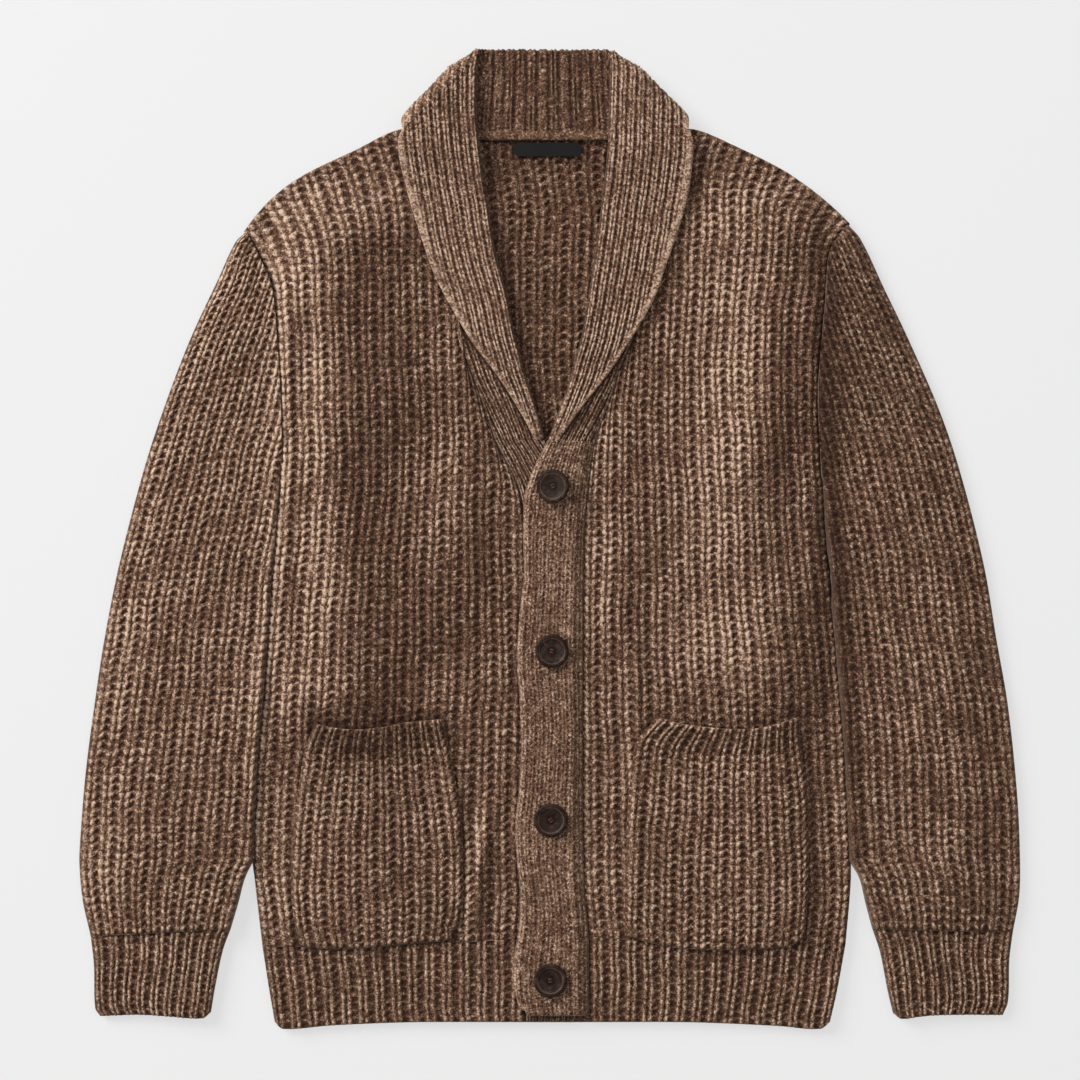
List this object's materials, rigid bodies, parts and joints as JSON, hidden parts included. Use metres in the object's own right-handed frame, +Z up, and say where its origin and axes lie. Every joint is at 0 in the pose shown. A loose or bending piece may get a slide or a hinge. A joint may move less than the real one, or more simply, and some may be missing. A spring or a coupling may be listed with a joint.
{
  "type": "shawl collar cardigan",
  "caption": "Chunky rib-knit shawl collar cardigan laid flat on its back, buttoned, with patch pockets and ribbed cuffs and hem.",
  "frame": {"origin": "middle of the garment's underside, where it lies on the surface", "axes": "+Z up from the surface, out of the garment's front; +Y towards the collar; +X towards the wearer's left"},
  "size_m": [0.7525, 0.7848, 0.0238],
  "materials": {
    "wool": "marled chunky wool rib",
    "horn": "polished",
    "label": "woven satin, bare"
  },
  "bodies": {
    "root": {"back": "wool", "front_left": "wool", "front_right": "wool", "sleeve_left": "wool", "sleeve_right": "wool", "cuff_left": "wool", "cuff_right": "wool", "hem_back": "wool", "hem_left": "wool", "hem_right": "wool", "button_band_over": "wool", "button_band_under": "wool", "shawl_collar": "wool", "pocket_left": "wool", "pocket_right": "wool", "button_1": "horn", "button_2": "horn", "button_3": "horn", "button_4": "horn", "neck_label": "label"}
  },
  "joints": []
}
